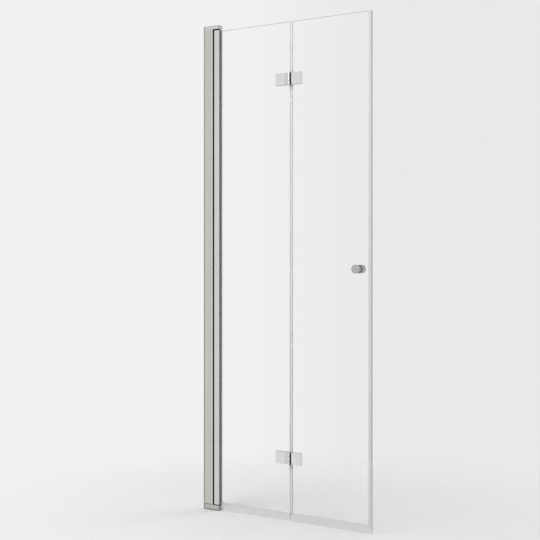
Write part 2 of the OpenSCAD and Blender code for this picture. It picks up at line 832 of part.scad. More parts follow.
module bulb_outline(tip, inset) {
    flat = bulb_r / 2;
    intersection() {
        rect(seal_web / 2 + inset, -bulb_r + inset, tip - inset, bulb_r - inset);
        union() {
            rect(0, -bulb_r, tip - flat, bulb_r);
            rect(0, -bulb_r + flat, tip, bulb_r - flat);
            for (side = [-1, 1])
                translate([tip - flat, side * (bulb_r - flat)]) circle(r = flat - inset);
        }
    }
}

// ---------- folding hinges ----------
// Each is drawn about its own fold axis, with the glass at +Y of it.

glass_y = -fold_y;
pad_y = glass_y - glass_face - pad_t;

module at_hinge(i) {
    translate([fold_x, fold_y, hinge_heights[i]]) children();
}

// Blind holes for the clamping screws
module leaf_screw_holes(x) {
    for (s = [-1, 1])
        y_cylinder(x, pad_y - hinge_screw_bite - seat_gap, pad_y + 1, s * hinge_screw_pitch / 2,
                   hinge_screw_r + fixed_fit);
}

// Plate, groove, ridge and relief over the seam seal, as one extruded section
module wall_leaf_section() {
    round_rect(wall_plate_x0, barrel_rise, wall_plate_x1 + 2, pad_y, 1);
    rect(wall_plate_x1 - 2, barrel_rise + groove_depth, -relief_x, pad_y);
    round_rect(ridge_x0, barrel_rise - ridge_rise, -barrel_side, relief_y, 0.8);
}

module wall_leaf() {
    difference() {
        union() {
            run(-hinge_h / 2, hinge_h / 2) difference() {
                wall_leaf_section();
                rect(wall_plate_x1, -barrel_r, ridge_x0, barrel_rise + groove_depth);
            }
            for (s = [-1, 1]) run(s > 0 ? knuckle_h / 2 + knuckle_gap : -hinge_h / 2,
                                         s > 0 ? hinge_h / 2 : -knuckle_h / 2 - knuckle_gap) {
                circle(r = barrel_r);
                rect(-barrel_side - 1, 0, 0, barrel_r);
            }
        }
        cylinder(h = hinge_h + 2, r = hinge_pin_r + fixed_fit, center = true);
        leaf_screw_holes(wall_screw_x);
    }
}

module lead_leaf() {
    difference() {
        union() {
            run(-hinge_h / 2, hinge_h / 2) {
                round_rect(lead_plate_x0, barrel_rise, lead_plate_x1, relief_y, 1);
                round_rect(relief_x, barrel_rise, lead_plate_x1, pad_y, 1);
            }
            run(-knuckle_h / 2, knuckle_h / 2) {
                circle(r = barrel_r);
                rect(0, barrel_rise, barrel_side + 1, barrel_r);
            }
        }
        cylinder(h = knuckle_h + 2, r = hinge_bush_r + fixed_fit, center = true);
        leaf_screw_holes(lead_screw_x);
    }
}

// Pads on both faces of the glass, the outer one with sleeves through the glass
module pads(x0, x1, screw_x) {
    sleeve_r = glass_hole_r - seat_gap;
    difference() {
        union() {
            translate([x0, pad_y, -hinge_h / 2 + pad_t]) cube([x1 - x0, pad_t, hinge_h - 2 * pad_t]);
            for (s = [-1, 1])
                y_cylinder(screw_x, pad_y + pad_t - tiny, glass_y + glass_face - seat_gap,
                           s * hinge_screw_pitch / 2, sleeve_r);
        }
        for (s = [-1, 1])
            y_cylinder(screw_x, pad_y - 1, glass_y + glass_face + 1, s * hinge_screw_pitch / 2,
                       hinge_screw_r + seat_gap);
    }
    difference() {
        translate([screw_x - clamp_w / 2, glass_y + glass_face, -clamp_h / 2])
            cube([clamp_w, pad_t, clamp_h]);
        for (s = [-1, 1])
            y_cylinder(screw_x, glass_y + glass_face - 1, glass_y + glass_face + pad_t + 1,
                       s * hinge_screw_pitch / 2, hinge_screw_r + seat_gap);
    }
}

module wall_pads() {
    pads(wall_plate_x0 + pad_t, -relief_x, wall_screw_x);
}

module lead_pads() {
    pads(relief_x, lead_plate_x1 - pad_t, lead_screw_x);
}

clamp_y = glass_y + glass_face + pad_t;
head_h = hinge_head_r - hinge_screw_r;

// Inner plate with round corners and countersunk holes
module clamp(screw_x) {
    difference() {
        translate([screw_x, clamp_y, 0]) rotate([-90, 0, 0]) linear_extrude(clamp_t)
            round_rect(-clamp_w / 2, -clamp_h / 2, clamp_w / 2, clamp_h / 2, 3);
        for (s = [-1, 1]) {
            y_cylinder(screw_x, clamp_y - 1, clamp_y + clamp_t + 1, s * hinge_screw_pitch / 2,
                       hinge_screw_r + seat_gap);
            translate([screw_x, clamp_y + clamp_t - seat_gap - head_h, s * hinge_screw_pitch / 2])
                rotate([-90, 0, 0]) countersink(hinge_screw_r, head_h);
        }
    }
}

module clamp_screws(screw_x) {
    for (s = [-1, 1]) difference() {
        union() {
            y_cylinder(screw_x, pad_y - hinge_screw_bite, clamp_y + clamp_t - seat_gap,
                       s * hinge_screw_pitch / 2, hinge_screw_r);
            y_cylinder(screw_x, clamp_y + clamp_t - head_h - seat_gap, clamp_y + clamp_t - seat_gap,
                       s * hinge_screw_pitch / 2, hinge_screw_r, hinge_head_r);
        }
        // hexagon socket
        translate([screw_x, clamp_y + clamp_t - head_h, s * hinge_screw_pitch / 2]) rotate([-90, 0, 0])
            cylinder(h = head_h + 1, r = hinge_screw_r * 0.75, $fn = 6);
    }
}

module hinge_pin() {
    chamfered_pin(-hinge_h / 2, hinge_h / 2, hinge_pin_r);
}

// Two flanged bushes in the middle knuckle
module hinge_bushes() {
    flange = knuckle_gap - 2 * seat_gap;
    for (s = [-1, 1]) mirror([0, 0, s < 0 ? 1 : 0]) difference() {
        union() {
            translate([0, 0, knuckle_h / 2 - bush_len]) cylinder(h = bush_len + tiny, r = hinge_bush_r);
            translate([0, 0, knuckle_h / 2 + seat_gap - tiny]) cylinder(h = flange, r = barrel_r - 0.5);
            translate([0, 0, knuckle_h / 2 - tiny]) cylinder(h = seat_gap + tiny, r = hinge_bush_r);
        }
        cylinder(h = hinge_h, r = hinge_pin_r + running_fit);
    }
}

module lower_wall_leaf() { color(chrome) at_hinge(0) wall_leaf(); }
module lower_wall_pads() { color(clear_soft) at_hinge(0) wall_pads(); }
module lower_wall_clamp() { color(chrome) at_hinge(0) clamp(wall_screw_x); }
module lower_wall_screws() { color(steel) at_hinge(0) clamp_screws(wall_screw_x); }
module lower_lead_leaf() { color(chrome) at_hinge(0) lead_leaf(); }
module lower_lead_pads() { color(clear_soft) at_hinge(0) lead_pads(); }
module lower_lead_clamp() { color(chrome) at_hinge(0) clamp(lead_screw_x); }
module lower_lead_screws() { color(steel) at_hinge(0) clamp_screws(lead_screw_x); }
module lower_hinge_pin() { color(steel) at_hinge(0) hinge_pin(); }
module lower_hinge_bushes() { color(black) at_hinge(0) hinge_bushes(); }
module upper_wall_leaf() { color(chrome) at_hinge(1) wall_leaf(); }
module upper_wall_pads() { color(clear_soft) at_hinge(1) wall_pads(); }
module upper_wall_clamp() { color(chrome) at_hinge(1) clamp(wall_screw_x); }
module upper_wall_screws() { color(steel) at_hinge(1) clamp_screws(wall_screw_x); }
module upper_lead_leaf() { color(chrome) at_hinge(1) lead_leaf(); }
module upper_lead_pads() { color(clear_soft) at_hinge(1) lead_pads(); }
module upper_lead_clamp() { color(chrome) at_hinge(1) clamp(lead_screw_x); }
module upper_lead_screws() { color(steel) at_hinge(1) clamp_screws(lead_screw_x); }
module upper_hinge_pin() { color(steel) at_hinge(1) hinge_pin(); }
module upper_hinge_bushes() { color(black) at_hinge(1) hinge_bushes(); }

// ---------- knob ----------

// Rounded rim and flat end of a knob, as part of its half outline
function knob_end(rim) = concat(arc(knob_r - rim, knob_len - rim, rim, 0, 90, 8), [[0, knob_len]]);

// Half outline of the outer knob, a spool: radius against distance from its washer
function outer_knob_outline() = let (flare = knob_len - knob_disc) concat(
    [[0, 0], [knob_base_r - 0.5, 0], [knob_base_r, 0.5], [knob_base_r, 1.5]],
    [for (i = [0:12]) let (t = i / 12)
        [knob_waist_r + (i < 4 ? (knob_base_r - knob_waist_r) * pow(1 - i / 4, 2)
                               : (knob_r - knob_waist_r) * pow((i - 4) / 8, 2)),
         2 + t * (flare - 2)]],
    knob_end(knob_disc / 4)
);

// Half outline of the inner knob, which widens evenly to its end
function inner_knob_outline() = concat(
    [[0, 0], [knob_base_r - 0.5, 0], [knob_base_r, 0.5]],
    knob_end(knob_disc / 4)
);

module knob(outline) {
    translate([knob_x, 0, knob_z]) rotate([-90, 0, 0]) translate([0, 0, glass_face + pad_t])
        difference() {
            rotate_extrude() polygon(outline);
            translate([0, 0, -1]) cylinder(h = stud_bite + 1 + seat_gap, r = stud_r + fixed_fit);
        }
}

module inner_knob() {
    color(chrome) knob(inner_knob_outline());
}

module outer_knob() {
    color(chrome) mirror([0, 1, 0]) knob(outer_knob_outline());
}

module knob_stud() {
    half = glass_face + pad_t + stud_bite;
    color(steel) y_cylinder(knob_x, -half, half, knob_z, stud_r);
}

// Black washers between the knobs and the glass, the outer one with a sleeve
module knob_washers() {
    color(black) for (side = [-1, 1]) mirror([0, side < 0 ? 0 : 1, 0]) difference() {
        union() {
            y_cylinder(knob_x, -glass_face - pad_t, -glass_face, knob_z, knob_base_r);
            if (side < 0)
                y_cylinder(knob_x, -glass_face - tiny, glass_face - seat_gap, knob_z,
                           glass_hole_r - seat_gap);
        }
        y_cylinder(knob_x, -glass_face - pad_t - 1, glass_face + 1, knob_z, stud_r + seat_gap);
    }
}

// ---------- drawing ----------

wall_channel();
wall_strips();
channel_end_pad();
hinge_post();
post_clamp_screws();
post_seal();
cap_bracket();
foot_bracket();
foot_strip();
cap_screws();
foot_screws();
upper_pivot_pin();
lower_pivot_pin();
pivot_profile();
glazing_gasket();
upper_pivot_bush();
lower_pivot_bush();
wall_glass();
wall_bottom_seal();
wall_seam_seal();
lead_glass();
lead_bottom_seal();
lead_seam_seal();
leading_edge_seal();
lower_wall_leaf();
lower_wall_pads();
lower_wall_clamp();
lower_wall_screws();
lower_lead_leaf();
lower_lead_pads();
lower_lead_clamp();
lower_lead_screws();
lower_hinge_pin();
lower_hinge_bushes();
upper_wall_leaf();
upper_wall_pads();
upper_wall_clamp();
upper_wall_screws();
upper_lead_leaf();
upper_lead_pads();
upper_lead_clamp();
upper_lead_screws();
upper_hinge_pin();
upper_hinge_bushes();
outer_knob();
inner_knob();
knob_stud();
knob_washers();
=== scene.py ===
# %% [markdown]
# A folding shower door of two clear panes, dressed for its picture.
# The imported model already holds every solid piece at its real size, in metres: the wall at
# X = 0, the glass in the plane Y = 0 and the floor at Z = 0. The dry side, where the camera
# stands, is -Y. This script only gives the pieces their finish, swaps the soft strips for
# strips with real moulded sections, adds one thin wiper, and sets up a small pale studio.

# %% Load the frame
import json
import math

import bmesh
import bpy
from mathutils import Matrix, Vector


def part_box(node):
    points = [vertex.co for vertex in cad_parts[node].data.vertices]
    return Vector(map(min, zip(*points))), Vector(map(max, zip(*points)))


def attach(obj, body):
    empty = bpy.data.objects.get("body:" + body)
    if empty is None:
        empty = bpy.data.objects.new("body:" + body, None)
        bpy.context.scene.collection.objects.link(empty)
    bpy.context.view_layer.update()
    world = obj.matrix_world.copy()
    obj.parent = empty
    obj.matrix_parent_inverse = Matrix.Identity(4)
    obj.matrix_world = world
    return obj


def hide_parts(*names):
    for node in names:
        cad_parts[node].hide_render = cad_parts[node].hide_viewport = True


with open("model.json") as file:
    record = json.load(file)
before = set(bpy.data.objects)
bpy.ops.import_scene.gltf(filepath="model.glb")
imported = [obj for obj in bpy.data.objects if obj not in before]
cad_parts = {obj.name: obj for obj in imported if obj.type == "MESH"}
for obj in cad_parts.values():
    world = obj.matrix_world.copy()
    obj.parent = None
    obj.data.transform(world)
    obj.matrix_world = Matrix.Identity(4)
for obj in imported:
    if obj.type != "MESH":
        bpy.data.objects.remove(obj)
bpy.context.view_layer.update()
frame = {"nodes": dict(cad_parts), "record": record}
nodes = frame["nodes"]

# %% [markdown]
# The camera comes first. The photo was taken from a little over a metre up, level with the
# floor, and about 34 degrees round from the dry side towards the door's free end. A level
# camera keeps every upright edge upright, and a small shift puts the door in the frame as
# the photographer did, without tilting anything.

# %% Camera
CAMERA_PLACE = Vector((2.8525, -3.7280, 1.0588))
CAMERA_AZIMUTH = math.radians(34.19)
LENS = 74.97  # millimetres, on a sensor 36 mm wide
SHIFT_UP = -0.0304

camera = bpy.data.objects.new("camera", bpy.data.cameras.new("camera"))
camera.data.sensor_width = 36
camera.data.lens = LENS
camera.data.shift_y = SHIFT_UP
camera.location = CAMERA_PLACE
camera.rotation_euler = (math.radians(90), 0, CAMERA_AZIMUTH)
bpy.context.scene.collection.objects.link(camera)
bpy.context.scene.camera = camera
print("camera:", [round(v, 3) for v in camera.location], "lens", LENS)

# %% [markdown]
# Node trees are easier to read as sums than as boxes and wires. Signal stands for one output
# of a node, and adding or multiplying two of them makes the Math node that does it. Wiring is
# one tree, and its `add` makes any other kind of node: the type, then the settings, then what
# goes into its sockets.

# %% Signals and wiring
class Signal:
    """One output socket, on which arithmetic makes Math nodes."""

    def __init__(self, wiring, socket):
        self.wiring, self.socket = wiring, socket

    def out(self, name):
        """Another output of the same node."""
        return Signal(self.wiring, self.socket.node.outputs[name])

    def _math(self, operation, *values, clamp=False):
        settings = {"operation": operation, "use_clamp": clamp}
        return self.wiring.add("ShaderNodeMath", settings, dict(enumerate(values)))

    def __add__(self, other):
        return self._math("ADD", self, other)

    def __sub__(self, other):
        return self._math("SUBTRACT", self, other)

    def __rsub__(self, other):
        return self._math("SUBTRACT", other, self)

    def __mul__(self, other):
        return self._math("MULTIPLY", self, other)

    def __truediv__(self, other):
        return self._math("DIVIDE", self, other)

    def __rtruediv__(self, other):
        return self._math("DIVIDE", other, self)

    def __pow__(self, other):
        return self._math("POWER", self, other)

    __radd__, __rmul__ = __add__, __mul__

    def limited(self):
        """The value, kept between 0 and 1."""
        return self._math("ADD", self, 0.0, clamp=True)

    def size(self):
        """The value without its sign."""
        return self._math("ABSOLUTE", self)

    def ramp(self, start, end, low=0.0, high=1.0):
        """Goes smoothly from low to high as the value goes from start to end."""
        return self.wiring.add("ShaderNodeMapRange", {"interpolation_type": "SMOOTHSTEP"}, {
            "Value": self, "From Min": start, "From Max": end, "To Min": low, "To Max": high})


class Wiring:
    """One node tree, filled from Python."""

    def __init__(self, tree):
        self.tree = tree
        tree.nodes.clear()

    def add(self, kind, settings=None, inputs=None):
        """A new node: its type, its settings, and a value or a link for each named socket."""
        node = self.tree.nodes.new(kind)
        for name, value in (settings or {}).items():
            setattr(node, name, value)
        for name, value in (inputs or {}).items():
            if isinstance(value, Signal):
                self.tree.links.new(value.socket, node.inputs[name])
            else:
                node.inputs[name].default_value = value
        return Signal(self, node.outputs[0] if node.outputs else node.inputs[0])


# %% [markdown]
# Most finishes here need the same three things: where a point is on the piece, a stretched
# noise for the lines that a die or a polishing belt leaves, and a mix of two colours. They
# get short names. Positions are object coordinates, so patterns stay on the metal when the
# door folds.

# %% Shared parts of a finish
class Finish(Wiring):
    """A material whose tree is written with Signals."""

    def __init__(self, name):
        self.material = bpy.data.materials.new(name)
        self.material.use_nodes = True
        super().__init__(self.material.node_tree)
        self.place = self.add("ShaderNodeTexCoord").out("Object")

    def noise(self, scale, detail=2.0, roughness=0.5):
        """Noise from 0 to 1, with its own scale along X, Y and Z, in cells per metre."""
        spot = self.add("ShaderNodeMapping", None, {"Vector": self.place, "Scale": scale})
        return self.add("ShaderNodeTexNoise", None, {
            "Vector": spot, "Scale": 1.0, "Detail": detail, "Roughness": roughness})

    def blend(self, share, first, second):
        """A colour between two colours."""
        mixed = self.add("ShaderNodeMix", {"data_type": "RGBA"}, {0: share, 6: first, 7: second})
        return mixed.out(2)

    def bump(self, height, depth, normal=None):
        """Relief from a height signal, with its depth in metres."""
        sockets = {"Strength": 1.0, "Distance": depth, "Height": height}
        if normal:
            sockets["Normal"] = normal
        return self.add("ShaderNodeBump", None, sockets)

    def facing(self):
        """Which way the surface faces on the piece, split into X, Y and Z."""
        normal = self.add("ShaderNodeTexCoord").out("Normal")
        return self.add("ShaderNodeSeparateXYZ", None, {0: normal})

    def soft_edges(self, radius):
        """Normals that turn round an edge, as on a deburred part."""
        return self.add("ShaderNodeBevel", {"samples": 4}, {"Radius": radius})

    def surface(self, **sockets):
        """The main shader: socket names are given with _ for spaces."""
        return self.add("ShaderNodeBsdfPrincipled", None,
                        {name.replace("_", " "): value for name, value in sockets.items()})

    def end(self, shader):
        """Ends the tree and gives the finished material."""
        self.add("ShaderNodeOutputMaterial", None, {"Surface": shader})
        return self.material


def rgb(red, green, blue):
    """An opaque colour."""
    return (red, green, blue, 1.0)


def darker(colour, share):
    """The same colour at a share of its lightness."""
    return rgb(*(share * c for c in colour[:3]))


# %% [markdown]
# The studio: a pale floor, a pale surround and soft lamps. The surround is a world colour, a
# touch lighter towards the wall side, as in the photo. Polished metal only looks like metal if
# it has something darker to show, so the reflections of the surround have a dark end beyond
# the door's free end: it draws the dark line down each hinge barrel. It stays near eye level,
# so the flat plates don't go black in other views. Reflections also get darker towards
# straight up and straight down, which gives the round knobs their dark upper and lower rims.

# %% Surround
SURROUND_LIGHT = rgb(0.880, 0.880, 0.880)
SURROUND_DARK = rgb(0.815, 0.817, 0.817)
SURROUND_TURN = (-0.05, 0.10)  # where it turns from light to dark, across the view
LAMP_SHARE = 0.74  # how strongly the surround lights matt surfaces
DARK_END = 0.10  # how much is left of it at the dark end of a reflection
DARK_SIDE = (0.62, 0.65)  # how far round from the wall the dark end begins
DARK_HEIGHT = (0.26, 0.19)  # how far above and below eye level it reaches
STEEP_END = 0.25  # how much is left of it straight up and straight down
STEEPNESS = (0.50, 0.85)  # from where to where a reflection darkens upwards
across = Vector((math.cos(CAMERA_AZIMUTH), math.sin(CAMERA_AZIMUTH), 0))

world = bpy.data.worlds.new("surround")
world.use_nodes = True
bpy.context.scene.world = world
sky = Wiring(world.node_tree)
ray = sky.add("ShaderNodeLightPath")
look = sky.add("ShaderNodeTexCoord").out("Generated")
sideways = sky.add("ShaderNodeVectorMath", {"operation": "DOT_PRODUCT"},
                   {0: look, 1: tuple(across)}).out("Value")
split = sky.add("ShaderNodeSeparateXYZ", None, {0: look})
away_from_wall = split.out("X")
up = split.out("Z")
tone = sky.add("ShaderNodeMix", {"data_type": "RGBA"}, {
    0: sideways.ramp(*SURROUND_TURN), 6: SURROUND_LIGHT, 7: SURROUND_DARK}).out(2)
reflected = ray.out("Is Glossy Ray") * (1 - ray.out("Is Transmission Ray"))
dark_end = away_from_wall.ramp(*DARK_SIDE) * up.size().ramp(*DARK_HEIGHT) * reflected
seen = (ray.out("Is Camera Ray") + ray.out("Is Glossy Ray") + ray.out("Is Transmission Ray")).limited()
steep = up.size().ramp(*STEEPNESS) * reflected
strength = seen + (1 - seen) * LAMP_SHARE
strength = strength * (1 - dark_end * (1 - DARK_END)) * (1 - steep * (1 - STEEP_END))
sky.add("ShaderNodeOutputWorld", None, {
    "Surface": sky.add("ShaderNodeBackground", None, {"Color": tone, "Strength": strength})})
print("surround:", len(world.node_tree.nodes), "nodes")

# %% [markdown]
# The lamps are area lamps, because a shower room has broad, soft light. The tall strip is low
# and to the left: flat fronts mirror the surround beside it, and only round pieces, such as
# the hinge barrels, catch it as a bright line. The other two light the door, but metal doesn't
# mirror them, or every level face would burn out to white. No lamp shows through the glass.

# %% Lamps
def lamp(name, place, target, width, height, power, mirrored=False):
    """An area lamp that faces a point; its size is in metres and its power in watts."""
    data = bpy.data.lights.new(name, "AREA")
    data.shape = "RECTANGLE"
    data.size = width
    data.size_y = height
    data.energy = power
    lit = bpy.data.objects.new(name, data)
    lit.location = place
    lit.rotation_euler = (Vector(target) - Vector(place)).to_track_quat("-Z", "Y").to_euler()
    lit.visible_glossy = mirrored
    lit.visible_transmission = False
    bpy.context.scene.collection.objects.link(lit)


DOOR_MIDDLE = (0.4, 0, 1.0)
lamp("ceiling_lamp", (-0.6, -2.2, 3.6), DOOR_MIDDLE, width=2.6, height=2.0, power=60)
lamp("strip_lamp", (-0.4, -4.2, 1.2), (0.4, 0, 1.2), width=1.8, height=3.0, power=20, mirrored=True)
lamp("back_lamp", (1.6, 3.0, 3.0), DOOR_MIDDLE, width=2.0, height=2.0, power=22)

# %% [markdown]
# The floor is one large sheet at Z = 0. Near the door it is matt and takes the shadows. A
# metre or two out it has faded to nothing, so the surround shows and no view has a horizon
# line. Polished pieces mirror the surround and not the floor, whose shadows would darken them.

# %% Floor
FLOOR_COLOUR = rgb(0.860, 0.860, 0.860)
FLOOR_SPECKS = rgb(0.800, 0.800, 0.800)
FLOOR_REACH = 40.0  # metres each way
DOOR_FOOT = (0.4, 0.0, 0.0)
FADE_FROM, FADE_TO = 0.35, 1.7  # metres from the door's foot


def floor_finish():
    """Matt paint that fades to nothing away from the door."""
    f = Finish("pale_floor")
    away = f.add("ShaderNodeVectorMath", {"operation": "DISTANCE"},
                 {0: f.place, 1: DOOR_FOOT}).out("Value")
    grain = f.noise((30, 30, 30), 3.0)
    paint = f.surface(Base_Color=f.blend(grain * 0.15, FLOOR_COLOUR, FLOOR_SPECKS),
                      Roughness=0.75, Specular_IOR_Level=0.2)
    return f.end(f.add("ShaderNodeMixShader", None, {
        0: away.ramp(FADE_FROM, FADE_TO), 1: paint, 2: f.add("ShaderNodeBsdfTransparent")}))


mesh = bpy.data.meshes.new("floor")
corners = [(x * FLOOR_REACH, y * FLOOR_REACH, 0) for x, y in ((-1, -1), (1, -1), (1, 1), (-1, 1))]
mesh.from_pydata(corners, [], [(0, 1, 2, 3)])
floor = bpy.data.objects.new("floor", mesh)
floor.data.materials.append(floor_finish())
floor.visible_glossy = False
bpy.context.scene.collection.objects.link(floor)
print("floor: fades out between", FADE_FROM, "and", FADE_TO, "m")

# %% [markdown]
# Anodised aluminium. The channel, the post and the turning profile are pushed through a die
# and then etched and anodised: the metal shows very fine lines along its length, a soft sheen
# and no scratches. The lines are noise stretched a thousand times along Z, and they vary both
# the roughness and a relief of a few thousandths of a millimetre.

# %% Anodised aluminium
MM = 0.001  # a millimetre, in metres


def anodised(name, colour, shade, roughness):
    """Satin aluminium whose lines run up and vary between two tones."""
    f = Finish(name)
    lines = f.noise((1500, 1500, 1.2), 3.0)
    cloud = f.noise((9, 9, 2.5), 2.0)
    grain = f.noise((5200, 5200, 3800), 1.0)
    normal = f.bump(lines * 0.7 + grain * 0.3, 0.004 * MM, f.soft_edges(0.35 * MM))
    tint = f.blend((lines * 0.6 + cloud * 0.4).ramp(0.25, 0.75), colour, shade)
    return f.end(f.surface(
        Base_Color=tint, Metallic=1.0,
        Roughness=roughness + (lines - 0.5) * 0.10 + (cloud - 0.5) * 0.06, Normal=normal))


# One anodised aluminium in five lightnesses: painted light on the post, painted shade on the channel and
# the foot, with the profile and the cap between.
channel_metal = anodised("anodised_channel", rgb(0.600, 0.605, 0.562), rgb(0.550, 0.555, 0.522), 0.34)
post_metal = anodised("anodised_post", rgb(0.945, 0.948, 0.935), rgb(0.910, 0.914, 0.900), 0.18)
profile_metal = anodised("anodised_profile", rgb(0.690, 0.694, 0.676), rgb(0.644, 0.649, 0.628), 0.30)
cap_metal = anodised("anodised_cap", rgb(0.680, 0.682, 0.682), rgb(0.640, 0.642, 0.642), 0.20)
foot_metal = anodised("anodised_foot", rgb(0.525, 0.530, 0.505), rgb(0.480, 0.486, 0.460), 0.38)
print("anodised finishes: 5")

# %% [markdown]
# Polished chrome on the hinges and knobs. It is not a perfect mirror: a cloth leaves faint
# smears, and damp hands leave duller patches. Both only change the roughness a little. The
# hinge leaves' upper and lower end faces are a little rougher and carry painted shade, darkest
# on the lower ones. The ridge beside the barrel is a little rougher and is painted darker, as
# painted shade and painted reflection of the barrel. The hollow on the barrel's other side is
# painted dark, as painted shade.

# %% Chrome and steel
# The ridge is painted darker, as painted shade and painted reflection of the barrel, and is a little
# rougher.
RIDGE = (402.3, 414.3)  # the ridge beside the barrels, in millimetres along X
# On the hinges the hollow is painted dark, as painted shade.
HOLLOW = (428.2, 429.8)  # the hollow on the other side of the barrels
BLUR = 0.2  # how softly both begin and end
DRY_SIDE = (-3.0, -4.0)  # the dry side begins here along Y
# Painted shade for the hinge leaves' lower end faces and for the hollow beside the barrel.
PAINTED_DEEP_SHADE = rgb(0.07, 0.07, 0.07)
# Painted shade for the hinge leaves' upper end faces.
PAINTED_END_SHADE = rgb(0.32, 0.32, 0.32)


def between(place, start, end):
    """1 where a place lies between two limits in millimetres, and 0 outside them."""
    return place.ramp(start * MM, (start + BLUR) * MM) * place.ramp(end * MM, (end - BLUR) * MM)


def chrome(name, colour, roughness, ends):
    """ends: how much painted shade darkens the end faces and the hollow, and how much rougher the end
    faces get, from 0 to 1.
    """
    f = Finish(name)
    smears = f.noise((60, 60, 22), 3.0, 0.6)
    swirl = f.noise((900, 900, 900), 2.0)
    patches = f.noise((28, 28, 28), 1.0).ramp(0.55, 0.8)
    upwards = f.facing().out("Z")
    # Faces that look up or down get painted shade, darkest below, and a little more roughness.
    above = upwards.ramp(0.80, 0.95) * ends
    below = upwards.ramp(-0.80, -0.95) * ends
    spot = f.add("ShaderNodeSeparateXYZ", None, {0: f.place})
    dry_side = spot.out("Y").ramp(*(limit * MM for limit in DRY_SIDE))
    on_ridge = between(spot.out("X"), *RIDGE) * dry_side
    # Where the hollow lies, the colour is painted dark, as painted shade.
    hollow_shade_mask = between(spot.out("X"), *HOLLOW) * dry_side
    tint = f.blend(smears, colour, darker(colour, 0.94))
    # The ridge colour is painted darker: painted shade and painted reflection of the barrel.
    ridge_shaded = f.blend(on_ridge, tint, darker(colour, 0.85))
    shaded = f.blend(hollow_shade_mask * ends, f.blend(above, ridge_shaded, PAINTED_END_SHADE), PAINTED_DEEP_SHADE)
    wear = smears * 0.03 + patches * 0.04 + swirl * 0.02
    return f.end(f.surface(
        Base_Color=f.blend(below, shaded, PAINTED_DEEP_SHADE), Metallic=1.0,
        Roughness=roughness + wear + (above + below) * 0.2 + on_ridge * 0.08,
        Normal=f.bump(swirl, 0.001 * MM, f.soft_edges(0.45 * MM))))


def turned_steel(name):
    """Plain steel with the fine marks of a lathe."""
    f = Finish(name)
    rings = f.noise((2600, 2600, 2600), 1.0)
    return f.end(f.surface(
        Base_Color=f.blend(rings, rgb(0.60, 0.60, 0.59), rgb(0.50, 0.50, 0.50)), Metallic=1.0,
        Roughness=0.24 + rings * 0.14, Normal=f.bump(rings, 0.004 * MM, f.soft_edges(0.2 * MM))))


hinge_chrome = chrome("hinge_chrome", rgb(0.790, 0.792, 0.792), 0.05, ends=1.0)
knob_chrome = chrome("knob_chrome", rgb(0.470, 0.472, 0.470), 0.10, ends=0.0)
screw_steel = turned_steel("screw_steel")
print("metals for hinges, knobs and screws: 3")

# %% [markdown]
# Soft black and grey strips, and black bush plastic. Fresh rubber is very dark: it swallows
# light and only shows a weak, broad sheen. Along its length it has faint lines from the die,
# and it carries a bloom of grey dust. Moulded plastic has a fine sparked grain instead.

# %% Rubber and plastic
def rubber(name, colour, dusty, sheen):
    """Soft rubber, clean in one colour and dusty in another."""
    f = Finish(name)
    dust = f.noise((260, 260, 14), 3.0)
    grain = f.noise((3000, 3000, 400), 1.0)
    return f.end(f.surface(
        Base_Color=f.blend(dust.ramp(0.4, 0.9), colour, dusty),
        Roughness=0.55 + dust * 0.2, Specular_IOR_Level=sheen,
        Normal=f.bump(grain, 0.01 * MM, f.soft_edges(0.2 * MM))))


def bush_plastic(name):
    """Hard black plastic with a sparked grain."""
    f = Finish(name)
    grain = f.noise((2400, 2400, 2400), 1.0)
    return f.end(f.surface(
        Base_Color=f.blend(grain, rgb(0.004, 0.004, 0.004), rgb(0.008, 0.008, 0.008)),
        Roughness=0.50 + grain * 0.15, Specular_IOR_Level=0.06,
        Normal=f.bump(grain, 0.01 * MM, f.soft_edges(0.3 * MM))))


black_rubber = rubber("black_rubber", rgb(0.008, 0.008, 0.008), rgb(0.018, 0.018, 0.017), 0.12)
# grey_rubber is darkened as painted shade: the strips that wear it stand in for the shadow in the corner
# against the wall.
grey_rubber = rubber("grey_rubber", rgb(0.240, 0.241, 0.236), rgb(0.300, 0.301, 0.296), 0.30)
lip_rubber = rubber("lip_rubber", rgb(0.195, 0.196, 0.190), rgb(0.245, 0.246, 0.240), 0.30)
black_plastic = bush_plastic("black_plastic")
print("soft and black finishes: 4")

# %% [markdown]
# Clear soft plastic. The sealing strips look clear in the hand, but an edge-on strip is a soft
# light grey, because every skin scatters a little light. The finish lets a share of the light
# through, blurs it and scatters the rest, with faint lines along the strip.

# %% Soft clear plastic
def stretched(across_strip, along_strip, direction):
    """The scale of a noise that is stretched along 'z' or 'x'."""
    if direction == "z":
        return (across_strip, across_strip, along_strip)
    return (along_strip, across_strip, across_strip)


def clear_plastic(name, colour, direction, clear):
    """clear: the share of the light that goes through, from 0 to 1."""
    f = Finish(name)
    lines = f.noise(stretched(1400, 3, direction), 2.0)
    milky = f.noise(stretched(40, 6, direction), 2.0)
    body = f.surface(
        Base_Color=f.blend(milky, colour, darker(colour, 0.95)),
        Roughness=0.28 + lines * 0.15, IOR=1.45, Transmission_Weight=clear,
        Normal=f.bump(lines, 0.006 * MM))
    path = f.add("ShaderNodeLightPath")
    thin = f.add("ShaderNodeBsdfTransparent", None, {"Color": rgb(0.86, 0.86, 0.86)})
    return f.end(f.add("ShaderNodeMixShader", None, {0: path.out("Is Shadow Ray"), 1: body, 2: thin}))


seam_plastic = clear_plastic("clear_strip_seam", rgb(0.83, 0.84, 0.83), "z", 0.30)
edge_plastic = clear_plastic("clear_strip_edge", rgb(0.78, 0.79, 0.78), "z", 0.32)
milky_plastic = clear_plastic("milky_strip", rgb(0.95, 0.95, 0.94), "z", 0.06)
level_plastic = clear_plastic("clear_strip_level", rgb(0.82, 0.83, 0.82), "x", 0.40)
pad_plastic = clear_plastic("clear_pad", rgb(0.70, 0.71, 0.70), "z", 0.25)
print("clear plastics: 5")

